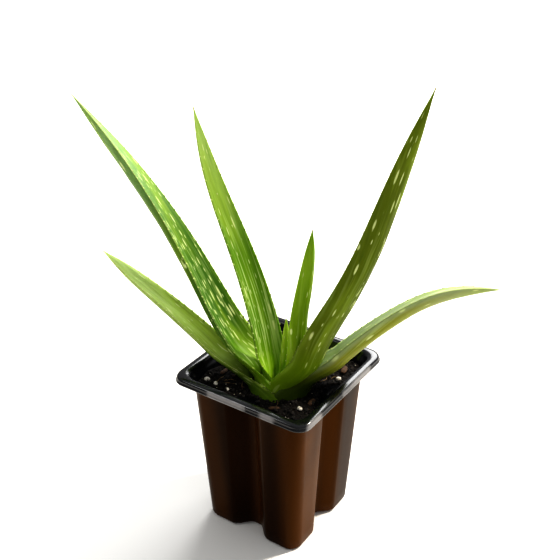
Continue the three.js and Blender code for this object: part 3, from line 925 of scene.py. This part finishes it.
# succulent leaf skin, grown: a thin waxy cuticle over wet green flesh, so the gloss is soft, light goes a
# little way in, and pale flecks lie in the skin along the blade
def aloeSkin(name, leaf):
    material, tree = newMaterial("aloeSkin" + name.replace("leaf_", "_"))
    place = addNode(tree, "ShaderNodeAttribute", attribute_name="leafPlace").outputs["Vector"]
    share = addNode(tree, "ShaderNodeAttribute", attribute_name="leafShare").outputs["Vector"]
    wrap = addNode(tree, "ShaderNodeSeparateXYZ", {0: place}).outputs[2]
    along, margin, tooth = addNode(tree, "ShaderNodeSeparateXYZ", {0: share}).outputs

    grain = {}
    for kind, (scale, detail, offset) in skin["noises"].items():
        mapped = addNode(tree, "ShaderNodeMapping", {
            "Vector": place, "Scale": scale, "Location": (leaf["seed"] * 3.1 + offset, 0, 0),
        })
        grain[kind] = addNode(tree, "ShaderNodeTexNoise", {
            "Vector": mapped.outputs[0], "Scale": 1.0, "Detail": detail,
        }).outputs["Fac"]

    # where each thing lies: the value it goes by, that value's range, and the share at either end
    masks = {}
    for kind, (value, low, high, atLow, atHigh) in {
        "back": (wrap, 0.47, 0.56, 0.0, 1.0),
        "tip": (along, 0.45, 0.95, 0.0, 0.8),
        "deepStreak": (grain["streak"], 0.3, 0.5, 0.22, 0.0),
        "paleStreak": (grain["streak"], 0.52, 0.75, 0.0, 0.17),
        "run": (grain["run"], 0.5, 0.66, 0.0, leaf["streaks"]),
        "runFade": (along, 0.35, 0.8, 1.0, 0.0),
        "cloud": (grain["cloud"], 0.45, 0.7, 0.0, 0.3),
        "offEdge": (margin, 0.3, 1.2, 0.0, 1.0),
        "offTip": (along, 0.93, 0.98, 1.0, 0.0),
        "rim": (margin, 0.1, 0.5, leaf["edge"], 0.0),
        "tooth": (tooth, 0.0, 0.4, 0.0, 0.8),
        "driedTip": (along, 0.985, 0.999, 0.0, 0.8),
        "blanchedBase": (along, 0.02, 0.24, 0.65, 0.0),
        # painted shade near the soil, strongest at the base and on the outer side
        "paintedShadeLow": (along, 0.1, 0.3, leaf["dusk"], 0.0),
        "paintedShadeOuter": (wrap, 0.4, 0.55, 0.75, 1.0),
    }.items():
        masks[kind] = addNode(tree, "ShaderNodeMapRange", {
            "Value": value, "From Min": low, "From Max": high, "To Min": atLow, "To Max": atHigh,
        }, interpolation_type="SMOOTHSTEP").outputs["Result"]

    # flecks up to 2 mm wide and 10 mm long among others half that size, as close together as spots says
    density = addNode(tree, "ShaderNodeMapRange", {
        "Value": along, "From Min": 0.05, "From Max": 0.9,
        "To Min": leaf["spots"][0], "To Max": leaf["spots"][1],
    }).outputs["Result"]
    spots = []
    for width, length, size, shift in skin["fleckCells"]:
        mapped = addNode(tree, "ShaderNodeMapping", {
            "Vector": place, "Scale": (1 / width, 1 / length, 9.0),
            "Location": (leaf["seed"] * 1.7 + shift, shift, 0),
        })
        cells = addNode(tree, "ShaderNodeTexVoronoi", {
            "Vector": mapped.outputs[0], "Scale": 1.0, "Randomness": 0.8,
        })
        chance, plump, _ = addNode(tree, "ShaderNodeSeparateColor", {"Color": cells.outputs["Color"]}).outputs
        kept = addNode(tree, "ShaderNodeMath", {0: chance, 1: density}, operation="LESS_THAN")
        radius = addNode(tree, "ShaderNodeMath", {0: plump, 1: size * 0.7, 2: size * 0.55},
                         operation="MULTIPLY_ADD")
        inside = addNode(tree, "ShaderNodeMath", {0: radius.outputs[0], 1: cells.outputs["Distance"]},
                         operation="SUBTRACT")
        soft = addNode(tree, "ShaderNodeMapRange", {
            "Value": inside.outputs[0], "From Min": 0.0, "From Max": 0.14,
        }, interpolation_type="SMOOTHSTEP")
        spot = addNode(tree, "ShaderNodeMath", {0: soft.outputs["Result"], 1: kept.outputs[0]},
                       operation="MULTIPLY")
        spots.append(spot.outputs[0])

    # values made from two others, in this order
    for kind, operation, first, second in (
            ("anyFleck", "MAXIMUM", *spots),
            ("inner", "MULTIPLY", "anyFleck", masks["offEdge"]),
            ("fleck", "MULTIPLY", "inner", masks["offTip"]),
            ("fleckColor", "MULTIPLY", "fleck", skin["fleckStrength"]),
            ("paleRun", "MULTIPLY", masks["run"], masks["runFade"]),
            ("horn", "MAXIMUM", masks["rim"], masks["tooth"]),
            ("paintedBaseShade", "MULTIPLY", masks["paintedShadeLow"], masks["paintedShadeOuter"]),
            ("poreRelief", "MULTIPLY", grain["pores"], 0.25),
            ("skinRelief", "ADD", grain["streak"], "poreRelief"),
            ("fleckRelief", "MULTIPLY", "fleck", 0.12),
            ("relief", "ADD", "skinRelief", "fleckRelief")):
        pair = [masks[value] if isinstance(value, str) else value for value in (first, second)]
        masks[kind] = addNode(tree, "ShaderNodeMath", dict(enumerate(pair)), operation=operation).outputs[0]

    # colours laid over the inner side's, in this order
    color = linear(leaf["face"])
    for where, over in (
            ("back", leaf["back"]), ("tip", leaf["tip"]),
            ("deepStreak", skin["deepStreak"]), ("paleStreak", skin["paleStreak"]),
            ("paleRun", skin["paleRun"]), ("cloud", skin["cloud"]), ("fleckColor", skin["fleck"]),
            ("horn", skin["horn"]), ("driedTip", skin["driedTip"]),
            ("blanchedBase", skin["blanchedBase"]), ("paintedBaseShade", skin["paintedBaseShade"])):
        color = addNode(tree, "ShaderNodeMix", {"Factor": masks[where], "A": color, "B": linear(over)},
                        data_type="RGBA").outputs["Result"]

    bump = addNode(tree, "ShaderNodeBump", {"Height": masks["relief"], "Strength": 0.22, "Distance": 0.0006})
    rough = addNode(tree, "ShaderNodeMapRange", {
        "Value": grain["cloud"], "From Min": 0.3, "From Max": 0.7, "To Min": 0.34, "To Max": 0.5,
    })
    shader = addNode(tree, "ShaderNodeBsdfPrincipled", {
        "Base Color": color,
        "Roughness": rough.outputs["Result"],
        "IOR": 1.42,
        "Specular IOR Level": 0.1,
        "Subsurface Weight": 0.18,
        "Subsurface Radius": (0.6, 1.0, 0.25),
        "Subsurface Scale": 0.0015,
        "Normal": bump.outputs["Normal"],
    })
    finishMaterial(tree, shader)
    return material


for leafName, leafShape in leafShapes.items():
    makeLeaf(leafName, leafShape)
print("leaves made")


studio = {
    "azimuth": 33.8,
    "elevation": 28.85,
    "distance": 506.4,
    "lens": 59.8,
    "sensor": 36.0,
    "target": (0.2, 0.2, 158.9),
    "nearest": 10.0,
    "floorColor": "#F4F3F0",
    "floorHalf": 4000.0,
    "floorGap": 0.02,
    "lampAim": (0, 0, 120.0),
    "skyBright": 0.5,
    "skyDim": 0.14,
    "skyColor": "#FFFFFF",
    "skyDimAt": -0.6,  # how far the sky faces the key lamp there, from -1 to 1
    "skyBrightAt": 0.7,
    "keyFrom": (143.0, 50.0),
    "keyAngle": 6.0,
    "keyPower": 3.1,
    "keyColor": "#FFF8EC",
    "cardFrom": (190.0, 38.0),
    "cardDistance": 1100.0,
    "cardSize": 700.0,
    "cardPower": 9.0,
    "cardColor": "#FFFFFF",
    "lipCardFrom": (-45.0, 47.0),
    "lipCardDistance": 900.0,
    "lipCardSize": 170.0,
    "lipCardPower": 0.7,
}


# a direction from a compass azimuth and a height above the horizon, both in degrees
def direction(azimuth, elevation):
    a, e = math.radians(azimuth), math.radians(elevation)
    return Vector((math.sin(a) * math.cos(e), -math.cos(a) * math.cos(e), math.sin(e)))


# painted board, rolled: white with a touch of warmth, and nearly matt
def makeFloor():
    half = studio["floorHalf"]
    z = cadLow.z / mm - studio["floorGap"]
    corners = [(-half, -half, z), (half, -half, z), (half, half, z), (-half, half, z)]
    mesh = bpy.data.meshes.new("floor")
    mesh.from_pydata((np.array(corners) * mm).tolist(), [], [(0, 1, 2, 3)])
    material, tree = newMaterial("matteBoard")
    shader = addNode(tree, "ShaderNodeBsdfPrincipled", {
        "Base Color": linear(studio["floorColor"]), "Roughness": 0.9, "Specular IOR Level": 0.1,
    })
    finishMaterial(tree, shader)
    mesh.materials.append(material)
    floor = bpy.data.objects.new("floor", mesh)
    bpy.context.scene.collection.objects.link(floor)


def makeLamp(name, kind, source, power, color, distance=1000.0, size=0.0):
    lamp = bpy.data.lights.new(name, kind)
    lamp.energy = power
    lamp.color = linear(color)[:3]
    if kind == "SUN":
        lamp.angle = math.radians(studio["keyAngle"])
    else:
        lamp.shape = "DISK"
        lamp.size = size * mm
    holder = bpy.data.objects.new(name, lamp)
    back = direction(*source)
    holder.location = Vector(studio["lampAim"]) * mm + back * distance * mm
    holder.rotation_mode = "QUATERNION"
    holder.rotation_quaternion = (-back).to_track_quat("-Z", "Y")
    bpy.context.scene.collection.objects.link(holder)


# a soft sky that is brighter on the lamps' side, as from large white screens there
def makeSky():
    world = bpy.data.worlds.new("studioSky")
    world.use_nodes = True
    tree = world.node_tree
    back = direction(*studio["keyFrom"])
    place = addNode(tree, "ShaderNodeTexCoord").outputs["Generated"]
    facing = addNode(tree, "ShaderNodeVectorMath", {0: place, 1: back}, operation="DOT_PRODUCT")
    strength = addNode(tree, "ShaderNodeMapRange", {
        "Value": facing.outputs["Value"],
        "From Min": studio["skyDimAt"], "From Max": studio["skyBrightAt"],
        "To Min": studio["skyDim"], "To Max": studio["skyBright"],
    })
    background = tree.nodes["Background"]
    background.inputs["Color"].default_value = linear(studio["skyColor"])
    tree.links.new(strength.outputs["Result"], background.inputs["Strength"])
    bpy.context.scene.world = world


def makeCamera():
    lens = bpy.data.cameras.new("studioCamera")
    lens.lens = studio["lens"]
    lens.sensor_width = studio["sensor"]
    lens.clip_start = studio["nearest"] * mm
    camera = bpy.data.objects.new("studioCamera", lens)
    back = direction(studio["azimuth"], studio["elevation"])
    camera.location = (Vector(studio["target"]) + back * studio["distance"]) * mm
    camera.rotation_mode = "QUATERNION"
    camera.rotation_quaternion = (-back).to_track_quat("-Z", "Y")
    bpy.context.scene.collection.objects.link(camera)
    bpy.context.scene.camera = camera


makeFloor()
makeSky()
makeLamp("keyLamp", "SUN", studio["keyFrom"], studio["keyPower"], studio["keyColor"])
for cardName in ("card", "lipCard"):
    makeLamp(cardName + "Lamp", "AREA", studio[cardName + "From"], studio[cardName + "Power"],
             studio["cardColor"], studio[cardName + "Distance"], studio[cardName + "Size"])
makeCamera()
bpy.context.scene.view_settings.view_transform = "Standard"
bpy.context.scene.view_settings.look = "High Contrast"
print("floor, light and camera set")
